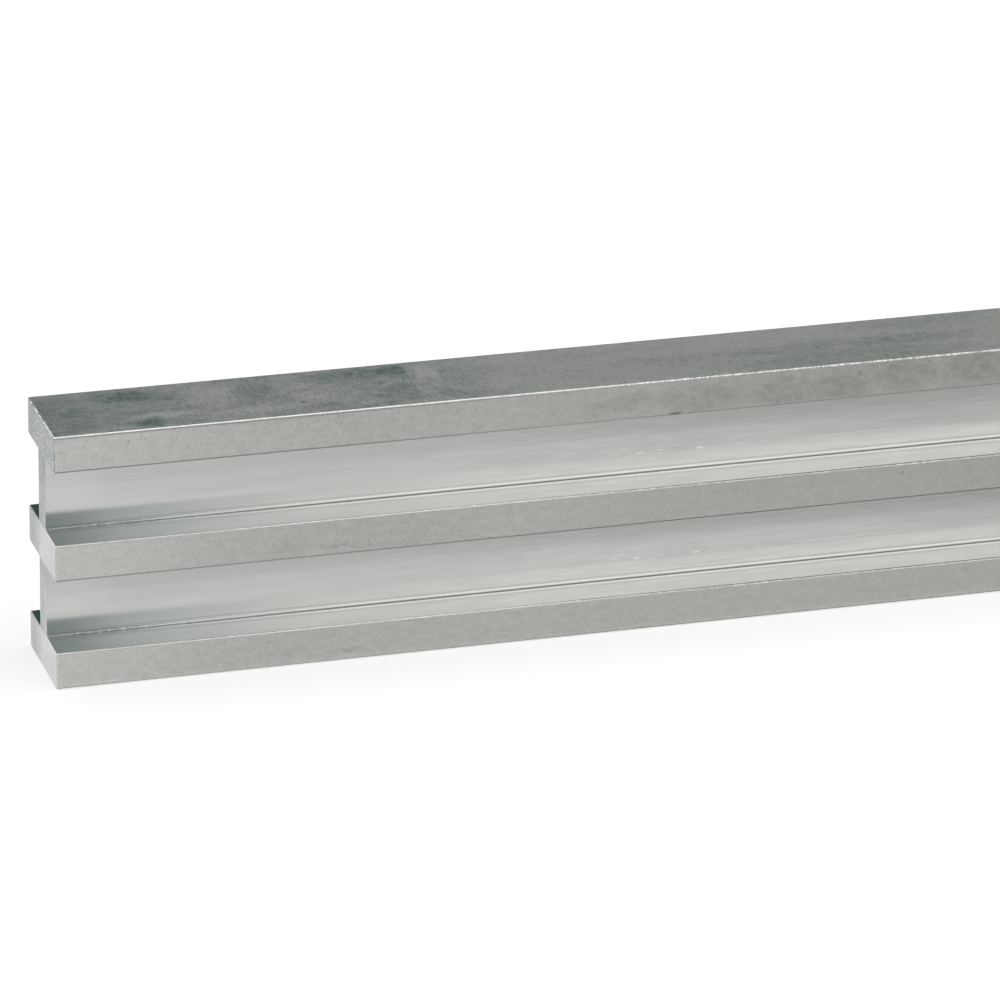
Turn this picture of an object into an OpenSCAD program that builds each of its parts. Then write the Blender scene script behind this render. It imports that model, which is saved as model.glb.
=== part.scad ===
// Triple T-profile busbar: one drawn copper bar, tin plated, with three flanges joined by a web.
// The bar lies along X and stands on its lowest flange. Its origin is the middle of its underside.

/* [Stock] */
// Length that the bar is supplied in
bar_length = 2400; // [300:50:6000]

/* [Section] */
// Number of flanges, one above the other
flange_count = 3; // [2, 3, 4]
// Width of each flange
flange_width = 30; // [20:1:60]
// Thickness of each flange
flange_thickness = 10; // [5:0.5:20]
// Thickness of the web that joins the flanges
web_thickness = 7; // [4:0.5:15]
// Clear height of the channel between two flanges
channel_height = 20; // [10:1:60]

/* [Edges] */
// Radius that the die leaves on the outer corners of each flange
corner_radius = 0.5; // [0.2:0.1:2]
// Radius in the roots, where the web meets a flange
root_radius = 0.5; // [0.2:0.1:4]
// Chamfer that takes the burr off the outer edges of both sawn ends
end_chamfer = 0.2; // [0.1:0.1:1]

/* [Hidden] */
$fn = 64;
flange_pitch = flange_thickness + channel_height;
section_height = (flange_count - 1) * flange_pitch + flange_thickness;
// How far a flange stands out from the web, less its rounded corner: a fillet has no more room than this
flange_overhang = (flange_width - web_thickness) / 2 - corner_radius;
fillet_radius = min(root_radius, flange_overhang, channel_height / 2);

// One flange with rounded corners, its underside on the X axis
module flange_outline() {
    straight_width = flange_width - 2 * corner_radius;
    straight_height = flange_thickness - 2 * corner_radius;
    translate([-straight_width / 2, 0]) square([straight_width, flange_thickness]);
    translate([-flange_width / 2, corner_radius]) square([flange_width, straight_height]);
    for (side = [-1, 1])
        for (level = [corner_radius, flange_thickness - corner_radius])
            translate([side * straight_width / 2, level]) circle(r = corner_radius);
}

// The web between the top of one flange and the underside of the next,
// run into both flanges so that the outlines join
module web_outline() {
    translate([-web_thickness / 2, flange_thickness / 2]) square([web_thickness, flange_pitch]);
}

// The metal left in one root: a square corner less the quarter circle of the fillet
module root_fillet() {
    difference() {
        square(fillet_radius);
        translate([fillet_radius, fillet_radius]) circle(r = fillet_radius);
    }
}

// The four roots of the channel above the flange whose underside is on the X axis
module channel_roots() {
    for (side = [0, 1])
        mirror([side, 0]) {
            translate([web_thickness / 2, flange_thickness]) root_fillet();
            translate([web_thickness / 2, flange_pitch]) mirror([0, 1]) root_fillet();
        }
}

// The whole section that the die draws, standing on the X axis
module section() {
    for (level = [0 : flange_count - 1])
        translate([0, level * flange_pitch]) flange_outline();
    for (level = [0 : flange_count - 2])
        translate([0, level * flange_pitch]) {
            web_outline();
            channel_roots();
        }
}

// A long square prism that takes a chamfer off an edge which runs along Z through the origin
module edge_chamfer() {
    side = end_chamfer * sqrt(2);
    reach = 2 * max(flange_width, section_height);
    rotate([0, 0, 45]) cube([side, side, reach], center = true);
}

// The chamfers round one end, whose face stands in the YZ plane
module end_chamfers() {
    for (side = [-1, 1]) {
        translate([0, side * flange_width / 2, section_height / 2]) edge_chamfer();
        translate([0, 0, section_height / 2 * (1 + side)]) rotate([90, 0, 0]) edge_chamfer();
    }
}

// The bar: the section drawn along X, then sawn and deburred at both ends
module triple_t_bar() {
    color("silver")
        difference() {
            rotate([90, 0, 90]) linear_extrude(bar_length, center = true) section();
            for (side = [-1, 1])
                translate([side * bar_length / 2, 0, 0]) end_chamfers();
        }
}

triple_t_bar();
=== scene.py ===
import math

import bpy
import numpy as np
from mathutils import Matrix, Vector


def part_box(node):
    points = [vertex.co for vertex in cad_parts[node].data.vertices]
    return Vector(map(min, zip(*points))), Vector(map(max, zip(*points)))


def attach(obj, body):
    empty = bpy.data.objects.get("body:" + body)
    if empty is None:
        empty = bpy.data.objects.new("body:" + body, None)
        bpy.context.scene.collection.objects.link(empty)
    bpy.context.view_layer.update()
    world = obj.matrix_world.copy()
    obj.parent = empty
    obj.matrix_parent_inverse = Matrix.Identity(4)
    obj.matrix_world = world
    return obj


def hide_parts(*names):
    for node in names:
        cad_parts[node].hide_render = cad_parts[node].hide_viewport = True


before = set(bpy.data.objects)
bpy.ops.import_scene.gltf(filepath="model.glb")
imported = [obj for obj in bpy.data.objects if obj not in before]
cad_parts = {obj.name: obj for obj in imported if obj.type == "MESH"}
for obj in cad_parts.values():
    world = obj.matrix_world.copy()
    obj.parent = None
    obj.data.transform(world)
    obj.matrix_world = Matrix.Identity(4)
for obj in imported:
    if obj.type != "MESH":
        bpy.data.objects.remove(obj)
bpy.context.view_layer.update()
mm = 0.001

# The bar lies along X and stands on its lowest flange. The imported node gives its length, width and height.
barLow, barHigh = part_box("triple_t_bar")
barLength, barWidth, barHeight = barHigh - barLow

barSection = {
    "flangeThickness": 10 * mm,
    "channelHeight": 20 * mm,
    "webThickness": 7 * mm,
    "cornerRadius": 0.5 * mm,   # what the die leaves on the outer arrises
    "rootRadius": 0.5 * mm,     # in the roots of the channels
    "endChamfer": 0.2 * mm,     # what the file takes off the sawn ends
    "cornerSteps": 4,           # facets round one arris or root
    "faceStep": 4 * mm,         # widest strip across a flat face
    "ringStep": 20 * mm,        # widest gap between two rings
    "nickRings": 5,             # rings that shape one nick
    "mapRows": 3,               # stretches that the bake map lays one above the other
    "mapShare": 0.93,           # width of the bake map that they fill, with the sawn ends beside them
    "mapGap": 0.006,            # left free round each stretch and each sawn end on the bake map
    "mapEnd": 0.15,             # height of a sawn end on the bake map
    "leastStrip": 0.7 * mm,     # a narrower strip is widened to this on the bake map
    "leastStep": 0.02 * mm,     # of two rings closer than this only one is kept
}
flangePitch = barSection["flangeThickness"] + barSection["channelHeight"]

arrisNicks = {
    "seed": 7,
    "wornCount": 34,            # close together along the front arris of the top flange
    "wornFrom": 120 * mm,
    "wornTo": 420 * mm,
    "strayCount": 52,           # on any arris, anywhere along the bar
    "halfLength": (0.4 * mm, 1.5 * mm),
    "depth": (0.03 * mm, 0.13 * mm),
}

# The strips of the outline, each with a finish of its own
faceTop, faceEdge, faceChannel, faceSawn, faceArris = range(5)


# The outline is a square-cornered section whose corners are arcs: the arc's centre plus its radius times the
# normal where the corner is an arris, and minus it where the corner is a root. It runs anticlockwise seen
# from +X. Gives the points, their outward normals, the finish of the strip after each and the arris that
# each belongs to, or -1.
def outlineOf(section):
    thick = section["flangeThickness"]
    wide, thin = barWidth / 2, section["webThickness"] / 2
    flanges = round((barHeight - thick) / flangePitch) + 1
    right = []
    for level in range(flanges):
        right += [(wide, level * flangePitch), (wide, level * flangePitch + thick)]
        if level < flanges - 1:
            right += [(thin, level * flangePitch + thick), (thin, (level + 1) * flangePitch)]
    right = np.array(right)
    corners = np.concatenate([right, right[::-1] * (-1, 1)])

    arriving = corners - np.roll(corners, 1, axis=0)
    arriving /= np.linalg.norm(arriving, axis=1, keepdims=True)
    leaving = np.roll(arriving, -1, axis=0)
    isArris = arriving[:, 0] * leaving[:, 1] - arriving[:, 1] * leaving[:, 0] > 0
    radius = np.where(isArris, section["cornerRadius"], section["rootRadius"])[:, None]
    centre = corners + radius * (leaving - arriving)
    before = np.stack([arriving[:, 1], -arriving[:, 0]], axis=1)
    after = np.stack([leaving[:, 1], -leaving[:, 0]], axis=1)
    steps = section["cornerSteps"]
    turn = np.linspace(0, math.pi / 2, steps + 1)
    normals = before[:, None] * np.cos(turn)[None, :, None] + after[:, None] * np.sin(turn)[None, :, None]
    arcs = centre[:, None] + (radius * np.where(isArris, 1, -1)[:, None])[:, None] * normals

    points, directions, finishes, arris = [], [], [], []
    for i in range(len(corners)):
        begin, end = arcs[i, -1], arcs[(i + 1) % len(corners), 0]
        middle = (begin + end) / 2
        strips = max(1, math.ceil(np.linalg.norm(end - begin) / section["faceStep"]))
        share = np.linspace(0, 1, strips + 1)[1:-1, None]
        close = radius[i, 0] / 2
        face = faceChannel
        if abs(middle[0]) > wide - close:
            face = faceEdge
        elif middle[1] < close or middle[1] > barHeight - close:
            face = faceTop
        points += [arcs[i], begin + share * (end - begin)]
        directions += [normals[i], np.repeat(after[i][None], strips - 1, axis=0)]
        finishes += [faceArris if isArris[i] else faceChannel] * steps + [face] * strips
        arris += [i if isArris[i] else -1] * (steps + 1) + [-1] * (strips - 1)
    return np.concatenate(points), np.concatenate(directions), np.array(finishes), np.array(arris)


# Draws the nicks: where each lies along the bar, which arris it is in, how long and how deep it is. The worn
# arris is the one highest up and furthest to the front.
def drawNicks(section, nicks, outline, arris):
    dice = np.random.default_rng(nicks["seed"])
    corners = np.unique(arris[arris >= 0])
    middles = [outline[arris == corner].mean(axis=0) for corner in corners]
    topFront = min(range(len(corners)), key=lambda i: middles[i][0] - 2 * middles[i][1])
    worn, stray = nicks["wornCount"], nicks["strayCount"]
    near = barLow[0] + dice.uniform(nicks["wornFrom"], nicks["wornTo"], worn)
    far = dice.uniform(barLow[0] + section["ringStep"], barHigh[0] - section["ringStep"], stray)
    return {
        "place": np.concatenate([near, far]),
        "corner": np.concatenate([np.full(worn, corners[topFront]), dice.choice(corners, stray)]),
        "half": dice.uniform(*nicks["halfLength"], worn + stray),
        "depth": dice.uniform(*nicks["depth"], worn + stray),
    }


# Rings stand an even step apart, with a few more at each nick and one wherever the bake map starts a new row.
def ringPlaces(section, nicks):
    left, right = barLow[0] + section["endChamfer"], barHigh[0] - section["endChamfer"]
    even = np.linspace(left, right, round((right - left) / section["ringStep"]) + 1)
    near = nicks["place"][:, None] + nicks["half"][:, None] * np.linspace(-1, 1, section["nickRings"])
    rows = np.linspace(barLow[0], barHigh[0], section["mapRows"] + 1)[1:-1]
    kept = np.sort(np.concatenate([even, near.ravel(), rows]))
    apart = np.diff(kept, prepend=-np.inf) > section["leastStep"]
    return kept[apart | np.isin(kept, rows)]


# A dent is a cosine bell along the bar times the sine of twice the turn round the arris, so it fades out on
# both faces. Gives the depth at each ring and outline point.
def dentsOf(section, nicks, places, arris):
    along = (places[:, None] - nicks["place"]) / nicks["half"]
    bell = np.where(abs(along) < 1, np.cos(along * math.pi / 2) ** 2, 0) * nicks["depth"]
    oneArris = np.linspace(0, math.pi, section["cornerSteps"] + 1)
    twiceTurn = np.zeros(len(arris))
    twiceTurn[arris >= 0] = np.tile(oneArris, np.count_nonzero(arris >= 0) // len(oneArris))
    around = np.sin(twiceTurn) * (nicks["corner"][:, None] == arris)
    return bell @ around


# The bake map lays the bar's length out in rows, one above the other. In a row u is the place along the bar
# and v the way round the outline. The two sawn ends lie beside the rows, one above the other.
def layMap(mesh, section, rings, outline):
    rows, share, gap = section["mapRows"], section["mapShare"], section["mapGap"]
    around = len(outline)
    strips = np.linalg.norm(np.roll(outline, -1, axis=0) - outline, axis=1)
    strips = np.maximum(strips, section["leastStrip"])
    way = np.concatenate([[0], np.cumsum(strips)]) / strips.sum()
    fromLeft = (rings[:, 0, 0] - barLow[0]) / barLength * rows
    row = np.floor((fromLeft[:-1] + fromLeft[1:]) / 2)
    u = np.stack([fromLeft[:-1] - row, fromLeft[1:] - row], axis=1) * (share - 2 * gap) + gap
    v = np.stack([way[:-1], way[1:]], axis=1) * (1 - 2 * gap * rows) / rows + gap
    corner = np.empty((len(row), around, 4, 2))
    corner[..., 0] = u[:, None][:, :, [0, 0, 1, 1]]
    corner[..., 1] = v[None][:, :, [0, 1, 1, 0]] + (row / rows)[:, None, None]
    ends = []
    for level, side in enumerate((-1, 1)):
        across = (outline[:, 0] * side + barWidth / 2) / barWidth
        wide = share + gap + across * (1 - share - 3 * gap)
        high = (level + outline[:, 1] / barHeight) * section["mapEnd"] + gap * (level + 1)
        ends.append(np.stack([wide, high], axis=1)[::side])
    allCorners = np.concatenate([corner.reshape(-1, 2), *ends])
    layer = mesh.uv_layers.new(name="OFBake")
    layer.data.foreach_set("uv", allCorners.astype(np.float32).ravel())


# The bar is the outline carried along X from ring to ring. Every point is moved in along its normal by the
# dent there, and at the ends by the chamfer.
def ringsOf(section, outline, normals, places, dents):
    rings = np.empty((len(places) + 2, len(outline), 3))
    rings[:, :, 0] = np.concatenate([[barLow[0]], places, [barHigh[0]]])[:, None]
    rings[1:-1, :, 1:] = outline - dents[:, :, None] * normals
    rings[[0, -1], :, 1:] = outline - section["endChamfer"] * normals
    return rings


# The faces between each ring and the next, as the numbers of their four points
def quadsOf(count, around):
    ring = np.arange(count - 1)[:, None] * around
    here = np.arange(around)[None]
    there = np.roll(here, -1, axis=1)
    return np.stack([ring + here, ring + there, ring + around + there, ring + around + here], axis=-1)


# The shading normal at each corner of each face is the outline's, leaning by the dents' slope along the bar
# and round it. On the chamfers it leans halfway to the end.
def shadingOf(outline, normals, places, dents, quads):
    onward = np.linalg.norm(np.roll(outline, -1, axis=0) - outline, axis=1)
    slope = (np.roll(dents, -1, axis=1) - np.roll(dents, 1, axis=1)) / (onward + np.roll(onward, 1))
    tangent = np.stack([-normals[:, 1], normals[:, 0]], axis=1)
    lean = np.zeros((len(places) + 2, len(outline), 3))
    lean[:, :, 1:] = normals
    lean[1:-1, :, 0] = np.gradient(dents, places, axis=0)
    lean[1:-1, :, 1:] += slope[:, :, None] * tangent
    atCorner = lean.reshape(-1, 3)[quads]
    atCorner[0, :, :, 0] = -1
    atCorner[-1, :, :, 0] = 1
    ends = np.repeat([(-1.0, 0, 0), (1.0, 0, 0)], len(outline), axis=0)
    shading = np.concatenate([atCorner.reshape(-1, 3), ends])
    return shading / np.linalg.norm(shading, axis=1, keepdims=True)


def makeBar(section, nickPlan):
    outline, normals, finishes, arris = outlineOf(section)
    nicks = drawNicks(section, nickPlan, outline, arris)
    places = ringPlaces(section, nicks)
    dents = dentsOf(section, nicks, places, arris)
    rings = ringsOf(section, outline, normals, places, dents)
    count, around = rings.shape[:2]
    quads = quadsOf(count, around)
    leftEnd = list(range(around))[::-1]
    rightEnd = [(count - 1) * around + i for i in range(around)]
    faces = quads.reshape(-1, 4).tolist() + [leftEnd, rightEnd]

    mesh = bpy.data.meshes.new("drawnBar")
    mesh.from_pydata(rings.reshape(-1, 3).tolist(), [], faces)
    mesh.polygons.foreach_set("use_smooth", np.ones(len(faces), bool))
    mesh.update()
    mesh.normals_split_custom_set(shadingOf(outline, normals, places, dents, quads))
    layMap(mesh, section, rings, outline)

    index = np.tile(finishes, (count - 1, 1))
    index[[0, -1]] = faceSawn
    index = np.concatenate([index.ravel(), [faceSawn, faceSawn]])
    mesh.polygons.foreach_set("material_index", index.astype(np.int32))
    mesh.update()
    made = bpy.data.objects.new("drawn_bar", mesh)
    bpy.context.scene.collection.objects.link(made)
    triangles = 2 * (count - 1) * around + 2 * (around - 2)
    print(f"bar: {around} points round, {count} rings, {triangles} triangles")
    return made


# A metal's nodes, with short ways to add to them. Sizes are in metres on the bar itself.
class Finish:
    def __init__(self, name):
        self.material = bpy.data.materials.new(name)
        self.material.use_nodes = True
        self.tree = self.material.node_tree
        self.shader = self.tree.nodes["Principled BSDF"]
        self.shader.inputs["Metallic"].default_value = 1
        self.place = self.tree.nodes.new("ShaderNodeTexCoord").outputs["Object"]

    # Adds a node and gives its chosen output; inputs are fed with numbers or with other nodes' outputs.
    def node(self, kind, inputs, output=0, **settings):
        made = self.tree.nodes.new("ShaderNode" + kind)
        for name, value in settings.items():
            setattr(made, name, value)
        for name, value in inputs.items():
            if isinstance(value, bpy.types.NodeSocket):
                self.tree.links.new(value, made.inputs[name])
            else:
                made.inputs[name].default_value = value
        return made.outputs[output]

    # The place measured from a centre, turned back and divided by a size along each axis
    def local(self, size, centre=(0, 0, 0), turn=(0, 0, 0), place=None):
        inputs = {"Vector": place or self.place, "Location": centre, "Rotation": turn, "Scale": size}
        return self.node("Mapping", inputs, vector_type="TEXTURE")

    # Noise whose lumps are as long, wide and high as the size says
    def noise(self, size, turn=(0, 0, 0), detail=2.0, rough=0.5, warp=0.0):
        vector = self.local(size, turn=turn)
        inputs = {"Vector": vector, "Scale": 1.0, "Detail": detail, "Roughness": rough, "Distortion": warp}
        return self.node("TexNoise", inputs)

    # The same with most of it pushed out to nought and one
    def strong(self, size, low=0.32, high=0.68, **settings):
        return self.ramp(self.noise(size, **settings), low, high)

    # A smooth step from one value to another as the input goes from low to high
    def ramp(self, value, low, high, start=0.0, stop=1.0):
        inputs = {"Value": value, "From Min": low, "From Max": high, "To Min": start, "To Max": stop}
        return self.node("MapRange", inputs, interpolation_type="SMOOTHSTEP")

    def maths(self, operation, *values):
        return self.node("Math", dict(enumerate(values)), operation=operation)

    # All the values multiplied together
    def times(self, value, *others):
        for other in others:
            value = self.maths("MULTIPLY", value, other)
        return value

    # The largest of the values
    def most(self, value, *others):
        for other in others:
            value = self.maths("MAXIMUM", value, other)
        return value

    # The start plus each pattern's swing about a half, times its weight
    def total(self, start, *layers):
        value = start - sum(weight for weight, pattern in layers) / 2
        for weight, pattern in layers:
            value = self.maths("MULTIPLY_ADD", pattern, weight, value)
        return value

    # The value with each pattern added, times its weight, and kept between nought and one
    def plus(self, value, *layers):
        for weight, pattern in layers:
            value = self.maths("MULTIPLY_ADD", pattern, weight, value)
        return self.node("Clamp", {"Value": value})

    # The place along X, Y or Z, which are 0, 1 and 2
    def axis(self, index):
        return self.node("SeparateXYZ", {"Vector": self.place}, output=index)

    # How far in from the nearer end of the bar
    def inward(self):
        return self.maths("SUBTRACT", barLength / 2, self.maths("ABSOLUTE", self.axis(0)))

    # A step from one value to another going up, at heights measured from the underside of the top flange
    def rise(self, low, high, start=0.0, stop=1.0):
        base = barHeight - barSection["flangeThickness"]
        return self.ramp(self.axis(2), base + low, base + high, start, stop)

    # How far above the top of the nearest flange, or of the one below where that is in a channel
    def level(self):
        half = barSection["flangeThickness"] / 2
        raised = self.maths("SUBTRACT", self.axis(2), half)
        return self.maths("SUBTRACT", self.maths("MODULO", raised, flangePitch), half)

    # The strongest of several oval marks, each given as a centre, half sizes, turns and a strength
    def marks(self, chosen, soft, place):
        value = 0.0
        for centre, size, turn, strength in chosen:
            apart = self.local(size, centre, turn, place)
            reach = self.node("VectorMath", {0: apart}, output="Value", operation="LENGTH")
            value = self.most(value, self.ramp(reach, 1.0, 1.0 - soft, 0.0, strength))
        return value

    # The place pushed about by noise, so that a mark has a ragged edge
    def ragged(self, size, push):
        inputs = {"Vector": self.local((size, size, size)), "Scale": 1.0, "Detail": 4.0}
        swing = self.node("TexNoise", inputs, output="Color")
        inputs = {0: swing, 1: (push, push, push), 2: (-push / 2, -push / 2, -push / 2)}
        moved = self.node("VectorMath", inputs, operation="MULTIPLY_ADD")
        return self.node("VectorMath", {0: self.place, 1: moved}, operation="ADD")

    # The first colour, going over to the second as the amount goes from nought to one
    def blend(self, amount, first, second):
        mix = self.tree.nodes.new("ShaderNodeMix")
        mix.data_type = "RGBA"
        sockets = {socket.identifier: socket for socket in mix.inputs}
        self.tree.links.new(amount, sockets["Factor_Float"])
        for name, colour in (("A_Color", first), ("B_Color", second)):
            if isinstance(colour, bpy.types.NodeSocket):
                self.tree.links.new(colour, sockets[name])
            else:
                sockets[name].default_value = (*colour, 1)
        return next(socket for socket in mix.outputs if socket.identifier == "Result_Color")

    # Joins colour, roughness and a height in metres to the shader.
    def join(self, colour, roughness, height):
        links, shader = self.tree.links, self.shader
        links.new(colour, shader.inputs["Base Color"])
        links.new(roughness, shader.inputs["Roughness"])
        normal = self.node("Bump", {"Height": height, "Distance": 1.0})
        links.new(normal, shader.inputs["Normal"])
        return self.material

    # Scratches lie along the bar, so gloss spreads across them.
    def brushed(self, amount):
        self.shader.inputs["Anisotropic"].default_value = amount
        tangent = self.node("Tangent", {}, direction_type="RADIAL", axis="X")
        self.tree.links.new(tangent, self.shader.inputs["Tangent"])


# The marks of a list on the top face, each with its place along from the left end and across from the middle
def topMarks(rows, deep):
    made = []
    for along, across, halfLong, halfWide, turn, strength in rows:
        centre = (barLow[0] + along * mm, across * mm, barHigh[2])
        size = (halfLong * mm, halfWide * mm, deep)
        made.append((centre, size, (0, 0, math.radians(turn)), strength))
    return made


# The same on an upright face in front, which stands at the given place along Y
def frontMarks(rows, front, deep):
    made = []
    for along, height, halfLong, halfHigh, turn, strength in rows:
        centre = (barLow[0] + along * mm, front, height * mm)
        size = (halfLong * mm, deep, halfHigh * mm)
        made.append((centre, size, (0, math.radians(turn), 0), strength))
    return made


# Top and underside: dulled by handling, warm grey where rubbed and grey-green where not, mottled and specked,
# with short wiping strokes nearly across the bar, short draw lines along it near the ends, and smudges that
# the same strokes hatch. Every list of marks holds millimetres and degrees.
topLook = {
    "pale": (0.76, 0.74, 0.71),
    "dull": (0.32, 0.365, 0.335),
    "teal": (0.20, 0.32, 0.30),
    "roughPale": 0.42,
    "roughDull": 0.32,
    "strokeTurn": 12,     # degrees that the wiping strokes lean from straight across
    "markSoft": 0.80,     # share of a mark's reach over which it fades
    "stainEnd": 99.5,     # the stains stop here in a line straight across the bar
    "stains": [           # along, across, half length, half width, turn, strength, as in the lists below
        (86, 9.5, 20, 6.5, 0, 0.64),
        (97, 9.5, 14, 6.5, 0, 0.85),
        (97, -5, 13, 10, 0, 0.45),
    ],
    "smudges": [
        (7, -2, 10, 18, 0, 0.45),
        (24, 8.5, 14, 7, -3, 0.75),
        (26, -10.5, 7, 4.2, 8, 1.0),
        (57, 4, 8, 6.5, 0, 0.42),
        (61, 6, 3, 5, 10, 0.45),
        (90, -7.5, 5, 3, -12, 0.60),
        (90, -12, 4, 2.0, 0, 0.50),
        (106.5, -9.5, 3, 5, 10, 0.50),
        (111, -11, 1.5, 3.5, 12, 0.55),
    ],
    "spots": [
        (68, -6.5, 1.3, 1.2, 30, 0.85),
        (75, -9.5, 3.5, 1.4, 5, 0.50),
        (56.5, 2.5, 2.0, 1.2, 20, 0.40),
        (109, -9, 1.6, 1.2, 0, 0.55),
    ],
    "dulled": [
        (206, -1.2, 48, 6.0, 0.5, 0.30),
        (234, -1.6, 32, 6.5, 0, 0.40),
        (218, -10, 50, 12, 0, 0.36),
        (244, 10, 34, 10, 0, 0.25),
        (170, -1, 22, 7, 0, 0.22),
        (249, -9, 11, 6, 0, 0.28),
    ],
    "lights": [
        (46, 3, 12, 11, 0, 0.80),
        (32, -6.5, 14, 1.8, -4, 0.90),
        (55, -8.5, 17, 5, 0, 0.50),
        (104.5, 7, 4.5, 8, 0, 0.80),
        (72, -2, 10, 3.5, 0, 0.40),
        (122, -4, 10, 5, 0, 0.35),
        (128, 9, 14, 6, 0, 0.30),
    ],
}


def handledTin(look):
    f = Finish("handledTin")
    inward = f.inward()
    stroke = (0, 0, math.radians(look["strokeTurn"]))
    cloud = f.strong((20 * mm, 6 * mm, 6 * mm), 0.36, 0.64, detail=3.0, rough=0.6, warp=0.5)
    cloud = f.times(cloud, f.ramp(inward, 0.16, 0.09, 0.45, 1.0))
    patch = f.strong((3.5 * mm, 1.6 * mm, 1.6 * mm), detail=3.0)
    drawn = f.strong((5 * mm, 0.27 * mm, 0.27 * mm))
    wiped = f.strong((0.42 * mm, 3.5 * mm, 1), turn=stroke)
    hatch = f.strong((0.55 * mm, 3 * mm, 1), turn=stroke)
    grain = f.strong((0.26 * mm, 0.26 * mm, 0.26 * mm), 0.25, 0.75, detail=1.0)
    speck = f.strong((0.8 * mm, 0.5 * mm, 0.5 * mm), 0.38, 0.62)
    speck = f.times(speck, f.ramp(inward, 0.14, 0.06, 0.10, 0.30))

    # The marks, their outlines made ragged: finely so round the small spots
    loose, fine = f.ragged(4 * mm, 5 * mm), f.ragged(0.8 * mm, 0.7 * mm)
    places = {"stains": loose, "smudges": loose, "spots": fine, "dulled": loose, "lights": loose}
    found = {}
    for kind, place in places.items():
        found[kind] = f.marks(topMarks(look[kind], 5 * mm), look["markSoft"], place)
    stop = barLow[0] + look["stainEnd"] * mm
    stains = f.times(found["stains"], f.ramp(f.axis(0), stop + 0.15 * mm, stop - 0.15 * mm))
    smudge = f.most(found["smudges"], stains)
    smudge = f.times(smudge, f.total(1.0, (0.85, hatch), (0.55, grain), (0.45, patch)))
    smudge = f.most(smudge, found["spots"])

    # How dull it is, from rubbed at nought to handled at one
    wipes = f.times(wiped, f.ramp(inward, 0.015, 0.04, 0.50, 1.0), f.ramp(inward, 0.16, 0.11, 0.85, 1.0))
    lines = f.times(drawn, f.ramp(inward, 0.055, 0.02, 0.25, 1.0))
    ticks = f.ramp(f.noise((1.6 * mm, 0.4 * mm, 1)), 0.48, 0.6)
    ticks = f.times(ticks, f.ramp(inward, 3.5 * mm, 0.5 * mm))
    amount = f.total(0.445, (0.20, cloud), (0.13, patch), (0.24, grain), (1.0, speck))
    amount = f.plus(
        amount, (0.42, wipes), (0.34, lines), (0.55, found["dulled"]), (-0.40, found["lights"]), (0.6, ticks)
    )
    roughness = f.ramp(f.most(amount, smudge), 0.0, 1.0, look["roughPale"], look["roughDull"])
    height = f.total(0.0, (0.0025 * mm, drawn), (0.005 * mm, grain), (0.003 * mm, wiped))
    tone = f.blend(amount, look["pale"], look["dull"])
    tone = f.blend(f.times(smudge, 0.75), tone, look["teal"])
    return f.join(tone, roughness, height)


# Flange edges: satin and faintly warm, more olive far from the ends, with a dense fine grain, blotches, faint
# upright ticks and pits and, further from the end, stains on the top flange, while the lower two stay cleaner
edgeLook = {
    "pale": (0.775, 0.765, 0.743),
    "dull": (0.40, 0.40, 0.385),
    "olive": (0.52, 0.555, 0.46),
    "dark": (0.25, 0.245, 0.22),
    "roughPale": 0.40,
    "roughDull": 0.34,
    "stains": [       # along, height, half length, half height, turn, strength
        (152, 64.8, 16, 3.0, -4, 0.50),
        (174, 64.5, 18, 6.0, 0, 0.52),
        (196, 64.5, 16, 6.5, 0, 0.50),
        (212, 64.0, 14, 7.0, 0, 0.55),
        (230, 66.0, 14, 7.0, 0, 0.56),
        (250, 66.0, 14, 7.0, 0, 0.68),
        (61, 33.6, 9, 2.2, -5, 0.20),
        (60, 3.6, 9, 2.2, -5, 0.15),
        (76, 32.6, 8, 0.9, 2, 0.45),
        (84, 31.8, 5, 0.7, 0, 0.35),
        (76, 2.6, 8, 0.9, 2, 0.35),
    ],
    "pits": [         # the same
        (1.8, 65.7, 0.4, 0.4, 0, 0.5),
        (7.8, 66.7, 0.35, 0.6, 5, 0.55),
        (19.4, 67.0, 0.4, 0.6, 10, 0.6),
        (23.8, 67.5, 0.35, 0.35, 0, 0.5),
        (9.9, 61.9, 0.3, 0.3, 0, 0.4),
        (166.4, 60.6, 3.0, 0.35, -3, 0.9),
        (161.0, 60.5, 1.6, 0.2, -3, 0.5),
        (217.6, 67.2, 0.35, 1.4, 35, 0.6),
        (221.0, 68.8, 2.2, 0.3, -8, 0.35),
        (237.1, 68.4, 0.9, 0.5, -10, 0.5),
        (238.5, 65.2, 0.5, 1.6, 5, 0.25),
        (230.5, 37.4, 0.8, 0.35, -30, 0.65),
        (231.8, 39.3, 0.4, 0.25, 0, 0.5),
        (116.8, 30.5, 0.6, 0.3, 0, 0.7),
        (195.0, 61.2, 0.9, 0.4, -20, 0.45),
        (201.0, 61.6, 0.4, 0.4, 0, 0.4),
    ],
}


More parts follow.
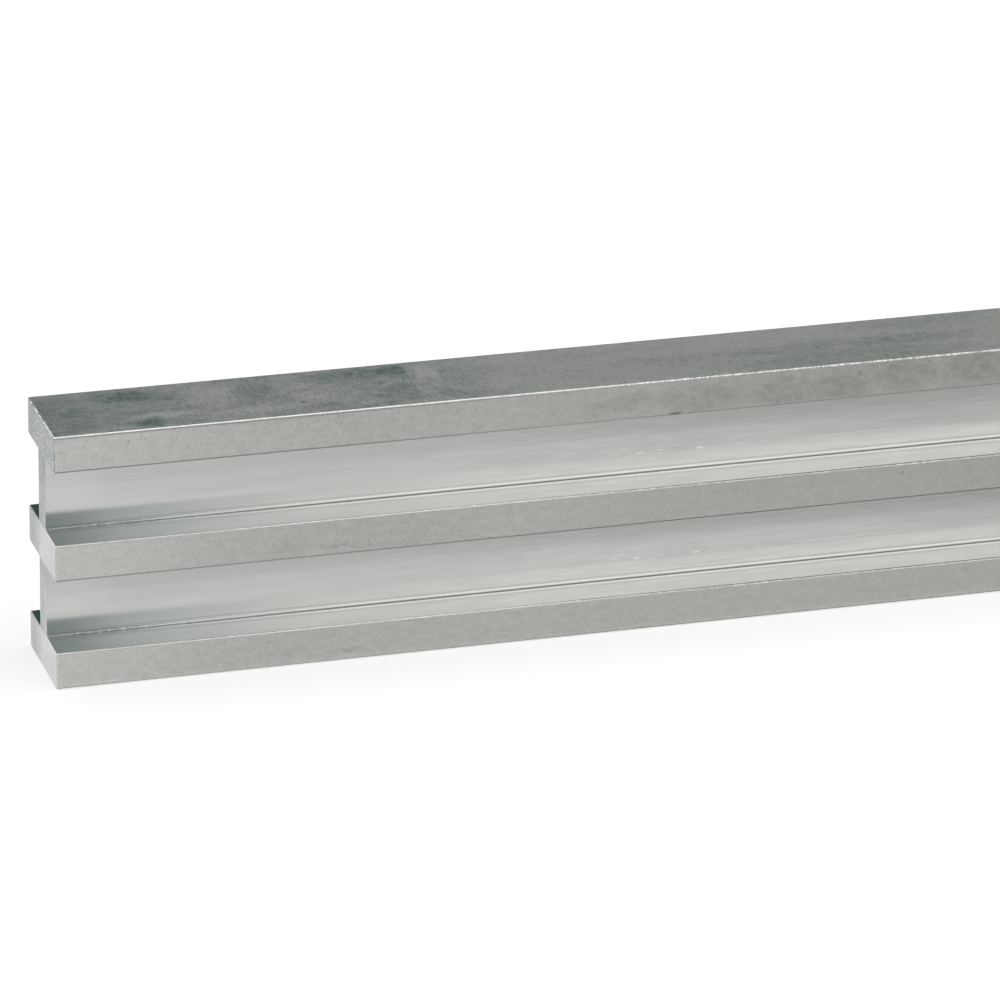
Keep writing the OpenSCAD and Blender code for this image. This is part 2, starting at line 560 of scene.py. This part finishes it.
def edgeTin(look):
    f = Finish("edgeTin")
    inward = f.inward()
    cloud = f.strong((18 * mm, 8 * mm, 5 * mm), 0.40, 0.66, detail=3.0, warp=0.5)
    mist = f.noise((60 * mm, 60 * mm, 30 * mm), detail=1.0)
    grain = f.strong((0.28 * mm, 0.28 * mm, 0.28 * mm), 0.25, 0.75, detail=1.0)
    fleck = f.strong((0.32 * mm, 1, 1.3 * mm), detail=1.0)
    smear = f.strong((5 * mm, 1, 0.7 * mm), turn=(0, math.radians(-4), 0))
    blotch = f.strong((3 * mm, 1, 1.7 * mm), warp=0.5)
    high = f.rise(-10 * mm, -5 * mm, 0.25, 1.0)
    low = f.rise(-5 * mm, -10 * mm)

    # Ticks stand in loose groups over the middle of the part that shows most
    ticks = f.ramp(f.noise((0.28 * mm, 1, 2.6 * mm), detail=0.0), 0.60, 0.72)
    groups = f.ramp(f.noise((7 * mm, 7 * mm, 4 * mm), detail=1.0), 0.46, 0.60)
    stretch = f.maths("SUBTRACT", f.ramp(inward, 0.04, 0.08), f.ramp(inward, 0.13, 0.16))
    ticks = f.times(ticks, groups, stretch, high, 0.25)
    pits = f.marks(frontMarks(look["pits"], barLow[1], 4 * mm), 0.70, f.ragged(0.5 * mm, 0.4 * mm))
    spots = f.most(pits, ticks)
    stains = f.marks(frontMarks(look["stains"], barLow[1], 4 * mm), 0.75, f.ragged(4 * mm, 5 * mm))
    stains = f.times(stains, f.maths("MULTIPLY_ADD", blotch, 0.5, 0.75))

    # How dull it is, from the sawn rim to far in, with a painted shade line just under the top arris
    rim = f.ramp(inward, 0.9 * mm, 0.4 * mm)
    aged = f.ramp(inward, 0.004, 0.045, 0.0, 0.15)
    clouds = f.times(cloud, f.ramp(inward, 0.24, 0.40), high)
    browShade = f.times(f.rise(9.0 * mm, 9.4 * mm), f.ramp(inward, 0.16, 0.07, 0.2, 1.0))
    clean = f.times(low, f.ramp(inward, 0.10, 0.17))
    amount = f.total(0.36, (0.17, grain), (0.18, fleck), (0.06, smear), (0.12, blotch), (0.25, mist))
    amount = f.plus(
        amount, (0.32, clouds), (0.50, stains), (-0.12, rim), (1.0, aged), (0.35, browShade), (-0.10, clean)
    )
    olive = f.ramp(inward, 0.11, 0.16, 0.0, 0.17)
    tone = f.blend(olive, f.blend(amount, look["pale"], look["dull"]), look["olive"])
    tone = f.blend(spots, tone, look["dark"])
    roughness = f.ramp(amount, 0.0, 1.0, look["roughPale"], look["roughDull"])
    height = f.maths("MULTIPLY_ADD", spots, -0.03 * mm, f.total(0.0, (0.007 * mm, grain)))
    return f.join(tone, roughness, height)


# Channels: bright from the die, hazy, with faint lines along the bar from drawing. A painted highlight runs
# on each side of the root, which has painted shade. Painted highlight beads lie along the root near the end,
# and painted glints, a painted reflection of the flange's front arris, lie along the webs further in.
channelLook = {
    "pale": (0.755, 0.76, 0.74),
    "dull": (0.60, 0.61, 0.595),
    # The colour of the painted highlights and glints, and below it that of the painted shade round the root
    "glint": (0.97, 0.97, 0.95),
    "shade": (0.335, 0.35, 0.335),
    "roughness": 0.13,
    "brushed": 0.4,
    # Painted glints, the mirror image of the flange's front arris in the web
    "paintedGlints": [       # along, height in the upper channel, half length, half height, turn, strength
        (154.5, 45.8, 1.6, 0.22, 0, 0.60),
        (156.4, 47.0, 1.6, 0.20, 0, 0.45),
        (160.8, 45.5, 1.6, 0.32, 0, 1.00),
        (165.4, 45.1, 1.2, 0.20, 0, 0.60),
        (166.8, 45.8, 1.8, 0.22, 0, 0.65),
        (171.4, 46.9, 1.3, 0.18, 0, 0.40),
        (177.4, 45.5, 1.8, 0.30, 0, 1.00),
        (181.2, 45.2, 1.3, 0.20, 0, 0.45),
        (188.7, 45.6, 2.0, 0.24, 0, 0.45),
        (195.4, 45.5, 1.8, 0.20, 0, 0.40),
        (219.5, 45.5, 2.4, 0.24, 0, 0.50),
        (222.0, 45.5, 26.0, 0.35, 0, 0.35),
    ],
}


def channelTin(look):
    f = Finish("channelTin")
    f.brushed(look["brushed"])
    inward, level = f.inward(), f.level()
    web = barSection["webThickness"] / 2
    out = f.maths("SUBTRACT", f.maths("ABSOLUTE", f.axis(1)), web)
    drawn = f.strong((60 * mm, 0.25 * mm, 0.25 * mm), rough=0.6)
    band = f.noise((160 * mm, 2.2 * mm, 2.2 * mm))
    haze = f.noise((35 * mm, 6 * mm, 6 * mm), warp=0.5)
    grain = f.strong((0.28 * mm, 0.28 * mm, 0.28 * mm), detail=1.0)
    mottle = f.strong((14 * mm, 3 * mm, 1.3 * mm), warp=0.35)
    mottle = f.times(mottle, f.ramp(inward, 0.07, 0.15, 0.3, 1.0))

    # How dull it is: less so low on the web far in, a painted light, and more so high on it near the end, a
    # painted shade under the flange above; more so too over the lower band near the end, and out on the
    # flange
    low = f.times(f.ramp(level, 11.2 * mm, 10.2 * mm), f.ramp(inward, 0.09, 0.15))
    high = f.times(f.ramp(level, 10.5 * mm, 13 * mm), f.ramp(inward, 0.24, 0.17))
    faint = f.times(f.ramp(inward, 0.006, 0.022), f.ramp(inward, 0.15, 0.03), f.ramp(level, 5 * mm, 8 * mm))
    ledge = f.times(f.ramp(out, 2.5 * mm, 10.5 * mm), f.ramp(level, 0.7 * mm, 0.3 * mm))
    amount = f.total(0.45, (0.4, band), (0.10, drawn), (0.35, haze), (0.15, grain), (0.28, mottle))
    amount = f.plus(amount, (-0.22, low), (0.20, high), (0.22, ledge), (0.32, faint))

    # Painted highlights beside the root, on the web and on the flange, painted highlight beads, and the
    # glints, a painted reflection of the flange's front arris
    webHighlight = f.times(f.ramp(level, 0.85 * mm, 0.70 * mm), f.ramp(level, 0.35 * mm, 0.45 * mm))
    webHighlight = f.times(webHighlight, f.ramp(inward, 0.02, 0.10, 0.1, 0.7))
    flangeHighlight = f.times(f.ramp(out, 1.0 * mm, 0.8 * mm), f.ramp(out, 0.30 * mm, 0.45 * mm))
    flangeHighlight = f.times(flangeHighlight, f.ramp(level, 0.5 * mm, 0.3 * mm), 0.8)
    broken = f.ramp(f.noise((2.5 * mm, 2.5 * mm, 2.5 * mm)), 0.45, 0.55)
    flangeHighlight = f.times(flangeHighlight, f.most(broken, f.ramp(inward, 0.03, 0.06)))
    bead = f.ramp(f.noise((0.55 * mm, 0.55 * mm, 0.45 * mm), detail=1.0), 0.58, 0.64)
    bead = f.times(bead, f.ramp(level, 1.1 * mm, 0.7 * mm), f.ramp(out, 1.5 * mm, 1.0 * mm, 0.0, 0.42))
    bead = f.times(bead, f.ramp(inward, 0.032, 0.024))
    upper = look["paintedGlints"]
    lower = [(along, height - flangePitch / mm, *rest) for along, height, *rest in upper]
    paintedGlints = frontMarks(upper + lower, -web, 1 * mm)
    paintedHighlights = f.most(webHighlight, flangeHighlight, bead, f.marks(paintedGlints, 0.6, f.ragged(1.2 * mm, 0.9 * mm)))

    # Painted shade: in the root itself and on a faint line over it, both of them darker at the end, and on
    # the lower band at the end
    rootShade = f.times(f.ramp(level, 0.42 * mm, 0.30 * mm), f.ramp(out, 0.45 * mm, 0.35 * mm))
    rootShade = f.times(rootShade, f.ramp(inward, 0.02, 0.09, 0.10, 0.62))
    overRootShade = f.times(f.ramp(level, 1.6 * mm, 1.2 * mm), f.ramp(level, 0.8 * mm, 1.0 * mm), 0.28)
    endRootShade = f.times(f.ramp(level, 1.1 * mm, 0.7 * mm), f.ramp(level, 0.10 * mm, 0.20 * mm))
    endRootShade = f.times(endRootShade, f.ramp(inward, 0.040, 0.015, 0.0, 0.75))
    endBandShade = f.times(f.ramp(level, 5.6 * mm, 4.4 * mm), f.ramp(inward, 0.022, 0.002, 0.0, 0.24))
    shade = f.most(rootShade, overRootShade, endRootShade, endBandShade)
    tone = f.blend(shade, f.blend(amount, look["pale"], look["dull"]), look["shade"])
    tone = f.blend(paintedHighlights, tone, look["glint"])
    roughness = f.total(look["roughness"], (0.08, haze), (0.03, drawn))
    height = f.total(0.0, (0.00015 * mm, drawn), (0.004 * mm, band), (0.0004 * mm, grain))
    return f.join(tone, roughness, height)


# Sawn ends: granular where the teeth tore the metal, most so at the top, with faint slanting file lines below
sawnLook = {
    "pale": (0.765, 0.77, 0.76),
    "dull": (0.25, 0.275, 0.27),
    "burr": (0.97, 0.97, 0.95),
    "roughPale": 0.42,
    "roughDull": 0.48,
    "fileTurn": 24,       # degrees that the file lines slant
}


def sawnTin(look):
    f = Finish("sawnTin")
    across = f.axis(1)
    thick = barSection["flangeThickness"]
    grain = f.maths("SUBTRACT", f.strong((1, 0.9 * mm, 0.32 * mm), 0.28, 0.72), 0.5)
    lump = f.noise((3 * mm, 3 * mm, 3 * mm))
    filed = f.strong((1, 5 * mm, 0.3 * mm), turn=(math.radians(look["fileTurn"]), 0, 0), detail=1.0)
    filed = f.maths("SUBTRACT", filed, 0.5)

    # How dull it is: torn at the top, filed below, duller on the web, and darker to the back as painted shade
    top = f.rise(-10 * mm, 1 * mm)
    torn = f.times(grain, f.maths("MULTIPLY_ADD", top, 0.50, 0.18))
    lined = f.times(filed, f.maths("MULTIPLY_ADD", top, -0.06, 0.16))
    middle = f.rise(-40 * mm, -29 * mm, 0.0, 0.13)
    backShade = f.times(f.ramp(across, 0.0, 0.010), f.maths("MULTIPLY_ADD", top, -0.27, 0.35))
    channel = f.ramp(f.maths("MODULO", f.axis(2), flangePitch), thick - 0.5 * mm, thick + 0.5 * mm)
    sides = f.ramp(f.maths("ABSOLUTE", across), 2.5 * mm, 3.1 * mm)
    web = f.times(channel, f.maths("MULTIPLY_ADD", sides, -0.20, 0.36), f.ramp(top, 0.0, 1.0, 1.0, 0.3))
    amount = f.total(0.17, (0.25, lump))
    amount = f.plus(amount, (1.0, torn), (1.0, lined), (1.0, backShade), (1.0, web), (1.0, middle), (0.39, top))

    # What is left of the burr, with a painted highlight on it: broken along the top edge, and a thin painted
    # highlight in front on top of each flange
    burr = f.times(f.rise(9.4 * mm, 9.8 * mm), f.strong((1, 2.0 * mm, 1), 0.48, 0.60))
    thin = f.ramp(f.maths("ABSOLUTE", f.level()), 0.45 * mm, 0.2 * mm)
    thin = f.times(thin, f.ramp(across, -2 * mm, -4 * mm), 0.7)
    tone = f.blend(amount, look["pale"], look["dull"])
    tone = f.blend(f.most(burr, thin), tone, look["burr"])
    roughness = f.ramp(amount, 0.0, 1.0, look["roughPale"], look["roughDull"])
    height = f.total(0.0, (0.03 * mm, torn), (0.005 * mm, filed), (0.02 * mm, lump))
    return f.join(tone, roughness, height)


# Arrises: pale on the crown, slightly beaded, with painted shade where they turn to the upright face,
# underneath, and behind the crown on the lower flanges, roped along the top one far in, and chipped under it
# in one place
arrisLook = {
    "pale": (0.74, 0.735, 0.715),
    "dull": (0.52, 0.52, 0.50),
    "dark": (0.30, 0.295, 0.28),
    "roughPale": 0.36,
    "roughDull": 0.46,
    "chips": [        # along, height, half length, half height, turn, strength
        (162.6, 60.3, 1.6, 0.5, 0, 0.6),
        (166.6, 60.3, 2.6, 0.6, 0, 1.0),
        (170.4, 60.4, 1.2, 0.4, 0, 0.7),
    ],
}


def arrisTin(look):
    f = Finish("arrisTin")
    inward = f.inward()
    facing = f.node("SeparateXYZ", {"Vector": f.node("TexCoord", {}, output="Normal")}, output=2)
    bead = f.strong((0.6 * mm, 0.6 * mm, 0.6 * mm))
    long = f.noise((14 * mm, 3 * mm, 3 * mm), detail=1.0)
    amount = f.node("Clamp", {"Value": f.total(0.30, (0.5, bead), (0.4, long))})

    # Painted shade by which way the arris faces: in front of the crown, under the arris, and on the lower
    # flanges behind the crown; the rope and the chips are wear
    crownFrontShade = f.times(f.ramp(inward, 0.16, 0.07, 0.3, 1.0), f.rise(-5 * mm, 2 * mm, 0.3, 1.0))
    crownFrontShade = f.times(crownFrontShade, f.ramp(facing, 0.48, 0.22))
    lower = f.times(f.rise(-5 * mm, -10 * mm), f.ramp(inward, 0.06, 0.18, 0.8, 1.0))
    undersideShade = f.most(f.ramp(inward, 0.06, 0.18, 0.15, 0.5), lower)
    undersideShade = f.times(undersideShade, f.ramp(facing, 0.05, -0.15))
    behindShade = f.times(f.ramp(inward, 0.10, 0.20), f.rise(-5 * mm, -15 * mm), f.ramp(facing, 0.62, 0.80))
    rope = f.ramp(f.noise((0.45 * mm, 2 * mm, 2 * mm), detail=0.0), 0.44, 0.60)
    rope = f.times(rope, f.ramp(inward, 0.12, 0.17), f.rise(-5 * mm, 2 * mm), 0.5)
    chips = f.marks(frontMarks(look["chips"], barLow[1], 1 * mm), 0.6, f.ragged(0.8 * mm, 0.8 * mm))
    dark = f.most(crownFrontShade, undersideShade, behindShade, rope, chips)
    tone = f.blend(dark, f.blend(amount, look["pale"], look["dull"]), look["dark"])
    roughness = f.ramp(amount, 0.0, 1.0, look["roughPale"], look["roughDull"])
    worn = f.ramp(inward, 0.12, 0.18, 0.02 * mm, 0.1 * mm)
    return f.join(tone, roughness, f.times(bead, worn))


bar = makeBar(barSection, arrisNicks)
finishes = {
    faceTop: handledTin(topLook),
    faceEdge: edgeTin(edgeLook),
    faceChannel: channelTin(channelLook),
    faceSawn: sawnTin(sawnLook),
    faceArris: arrisTin(arrisLook),
}
for face in sorted(finishes):
    bar.data.materials.append(finishes[face])
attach(bar, "root")
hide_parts("triple_t_bar")
print("bar finished")


# The floor, the world, the lamps and the cards that only reflections see
studio = {
    "floorSize": 80.0,
    "floorColour": 0.80,
    "floorGlow": 0.48,          # added where the floor is looked at, so that it is white
    "floorGap": 0.1 * mm,       # between the floor and the bar's underside
    "worldDiffuse": 0.55,       # the world's strength as plain light; looked at, it is 1
}


# One where the camera, a reflection or a refraction looks, and nought where plain light is gathered
def looked(tree):
    path = tree.nodes.new("ShaderNodeLightPath")
    value = path.outputs["Is Camera Ray"]
    for other in ("Is Glossy Ray", "Is Transmission Ray"):
        either = tree.nodes.new("ShaderNodeMath")
        either.operation = "MAXIMUM"
        tree.links.new(value, either.inputs[0])
        tree.links.new(path.outputs[other], either.inputs[1])
        value = either.outputs[0]
    return value


# A number that goes from one value to another as the share goes from nought to one
def ranged(tree, share, start, stop):
    node = tree.nodes.new("ShaderNodeMapRange")
    node.inputs["To Min"].default_value = start
    node.inputs["To Max"].default_value = stop
    tree.links.new(share, node.inputs["Value"])
    return node.outputs[0]


# A mesh in the studio, with an empty material
def flatSheet(name, points, faces):
    mesh = bpy.data.meshes.new(name)
    mesh.from_pydata(points, [], faces)
    sheet = bpy.data.objects.new(name, mesh)
    bpy.context.scene.collection.objects.link(sheet)
    material = bpy.data.materials.new(name)
    material.use_nodes = True
    material.node_tree.nodes.clear()
    mesh.materials.append(material)
    return sheet, material.node_tree


def makeFloor():
    half, level = studio["floorSize"] / 2, barLow[2] - studio["floorGap"]
    corners = [(-half, -half, level), (half, -half, level), (half, half, level), (-half, half, level)]
    tree = flatSheet("floor", corners, [(0, 1, 2, 3)])[1]
    diffuse = tree.nodes.new("ShaderNodeBsdfDiffuse")
    diffuse.inputs["Color"].default_value = (studio["floorColour"],) * 3 + (1,)
    glow = tree.nodes.new("ShaderNodeEmission")
    tree.links.new(ranged(tree, looked(tree), 0, studio["floorGlow"]), glow.inputs["Strength"])
    both = tree.nodes.new("ShaderNodeAddShader")
    tree.links.new(diffuse.outputs[0], both.inputs[0])
    tree.links.new(glow.outputs[0], both.inputs[1])
    out = tree.nodes.new("ShaderNodeOutputMaterial")
    tree.links.new(both.outputs[0], out.inputs["Surface"])


def makeWorld():
    world = bpy.data.worlds.new("paleRoom")
    bpy.context.scene.world = world
    world.use_nodes = True
    tree = world.node_tree
    tree.nodes.clear()
    background = tree.nodes.new("ShaderNodeBackground")
    strength = ranged(tree, looked(tree), studio["worldDiffuse"], 1)
    tree.links.new(strength, background.inputs["Strength"])
    out = tree.nodes.new("ShaderNodeOutputWorld")
    tree.links.new(background.outputs[0], out.inputs["Surface"])


# A soft box: its power is the radiance times pi times its area.
def makeLamp(name, place, aim, size, radiance):
    data = bpy.data.lights.new(name, "AREA")
    data.shape = "RECTANGLE"
    data.size, data.size_y = size
    data.energy = radiance * math.pi * size[0] * size[1]
    lamp = bpy.data.objects.new(name, data)
    bpy.context.scene.collection.objects.link(lamp)
    lamp.location = place
    lamp.rotation_euler = (Vector(aim) - Vector(place)).to_track_quat("-Z", "Y").to_euler()
    lamp.visible_camera = False


# A card that only reflections see: a grid across and up, whose tone or colour is given at each of its points
def makeCard(name, across, up, tones, place):
    points = [place(a, b) for b in up for a in across]
    wide, high = len(across), len(up)
    starts = [row * wide + column for row in range(high - 1) for column in range(wide - 1)]
    card, tree = flatSheet(name, points, [(i, i + 1, i + wide + 1, i + wide) for i in starts])
    layer = card.data.attributes.new("tone", "FLOAT_COLOR", "POINT")
    colours = np.ones((wide * high, 4), np.float32)
    colours[:, :3] = np.array(tones).reshape(wide * high, -1)
    layer.data.foreach_set("color", colours.ravel())
    read = tree.nodes.new("ShaderNodeAttribute")
    read.attribute_name = "tone"
    glow = tree.nodes.new("ShaderNodeEmission")
    tree.links.new(read.outputs["Color"], glow.inputs["Color"])
    out = tree.nodes.new("ShaderNodeOutputMaterial")
    tree.links.new(glow.outputs[0], out.inputs["Surface"])
    card.visible_camera = False
    card.visible_diffuse = False
    card.visible_shadow = False
    card.visible_transmission = False


overheadBox = {
    "place": (-0.4, -0.2, 1.6),
    "aim": (-0.4, 0, 0),
    "size": (3.0, 1.6),
    "radiance": 0.9,
}

# What stands behind is dark.
backCard = {
    "across": (-1.6, 4.5),
    "up": (0.50, 1.6),
    "plane": 1.5,
    "colour": (0.03, 0.062, 0.058),
}

# The pale table in front darkens to the right. The webs' mirror image of it darkens upwards, and more so
# to the right.
tableCard = {
    "lift": 0.1 * mm,   # over the bar's underside
    "reach": 0.28,      # metres from the bar's end to where the factors for the right hold
    "columns": [        # metres from the bar's end, tone
        (-1.8, 0.74),
        (0.0, 0.74),
        (0.28, 0.555),
        (4.2, 0.555),
    ],
    "rows": [           # metres from the bar's middle, times the tone at the left and at the right
        (-1.2, 1.0, 1.0),
        (-0.2000, 1.12, 0.95),
        (-0.1500, 1.12, 0.95),
        (-0.1455, 1.06, 0.73),
        (-0.1370, 1.06, 0.73),
        (-0.1280, 1.12, 0.84),
        (-0.1240, 1.14, 1.00),
        (-0.1160, 1.18, 1.28),
        (-0.1090, 1.18, 1.45),
        (-0.1080, 1.0, 1.0),
        (-0.0800, 1.0, 1.0),
        (-0.0750, 0.93, 0.87),
        (-0.0665, 0.93, 0.87),
        (-0.0575, 1.04, 0.80),
        (-0.0535, 1.06, 0.92),
        (-0.0455, 1.09, 1.18),
        (-0.0385, 1.09, 1.25),
        (-0.0375, 1.0, 1.0),
        (-0.0160, 1.0, 1.0),
    ],
}

# What stands in front: dark, with a pale board, fading out to the left, that the tops of the lower flanges
# mirror
frontCard = {
    "plane": -1.49,
    "columns": [        # metres along, colour
        (-3.5, (0.05, 0.06, 0.06)),
        (-0.95, (0.18, 0.232, 0.24)),
        (-0.87, (0.295, 0.385, 0.405)),
        (-0.82, (0.75, 0.795, 0.80)),
        (-0.77, (1.00, 0.99, 1.00)),
        (-0.70, (1.11, 1.10, 1.11)),
        (-0.63, (1.13, 1.12, 1.13)),
        (-0.55, (1.09, 1.08, 1.08)),
        (4.5, (1.09, 1.08, 1.08)),
    ],
    "rows": [           # height, times that colour
        (0.04, 1.0),
        (0.92, 1.0),
        (1.0, 1.5),
        (1.5, 1.5),
        (1.55, 0.10),
        (1.8, 0.10),
    ],
}


def makeTable():
    columns, rows = tableCard["columns"], tableCard["rows"]
    shares = [min(max(along / tableCard["reach"], 0), 1) for along, tone in columns]
    tones = []
    for depth, left, right in rows:
        factors = [left + (right - left) * share for share in shares]
        tones.append([tone * factor for (along, tone), factor in zip(columns, factors)])
    level = barLow[2] + tableCard["lift"]
    across = [barLow[0] + along for along, tone in columns]
    makeCard("tableCard", across, [depth for depth, left, right in rows], tones, lambda a, b: (a, b, level))


def makeFront():
    columns, rows = frontCard["columns"], frontCard["rows"]
    across, up = [along for along, colour in columns], [height for height, factor in rows]
    tones = [[np.array(colour) * factor for along, colour in columns] for height, factor in rows]
    makeCard("frontCard", across, up, tones, lambda a, b: (a, frontCard["plane"], b))


def makeBack():
    across, up = backCard["across"], backCard["up"]
    tones = [[backCard["colour"]] * len(across)] * len(up)
    makeCard("backCard", across, up, tones, lambda a, b: (a, backCard["plane"], b))


makeFloor()
makeWorld()
makeLamp("overheadBox", **overheadBox)
makeBack()
makeTable()
makeFront()
print("studio set")


shot = {
    "azimuth": 16.96,     # degrees, from +Y to +X
    "elevation": 22.13,   # degrees down
    "roll": 0.95,         # degrees
    "distance": 1.728,    # metres to the point that it looks at
    "fromEnd": 0.1235,    # metres from the bar's left end to that point
    "height": 0.0345,     # of that point
    "lens": 236.0,        # millimetres
}


# The camera looks along the azimuth and down by the elevation, at a point on the bar's middle plane, from the
# distance; the roll turns its level and its upright.
def makeCamera():
    azimuth, elevation, roll = (math.radians(shot[name]) for name in ("azimuth", "elevation", "roll"))
    flat = Vector((math.sin(azimuth), math.cos(azimuth), 0))
    forward = flat * math.cos(elevation) - Vector((0, 0, math.sin(elevation)))
    level = Vector((math.cos(azimuth), -math.sin(azimuth), 0))
    upright = level.cross(forward)
    across = math.cos(roll) * level + math.sin(roll) * upright
    up = math.cos(roll) * upright - math.sin(roll) * level
    data = bpy.data.cameras.new("camera")
    data.lens = shot["lens"]
    camera = bpy.data.objects.new("camera", data)
    bpy.context.scene.collection.objects.link(camera)
    target = Vector((barLow[0] + shot["fromEnd"], 0, shot["height"]))
    camera.location = target - forward * shot["distance"]
    camera.rotation_euler = Matrix((across, up, -forward)).transposed().to_euler()
    bpy.context.scene.camera = camera


makeCamera()
bpy.context.scene.view_settings.view_transform = "Standard"
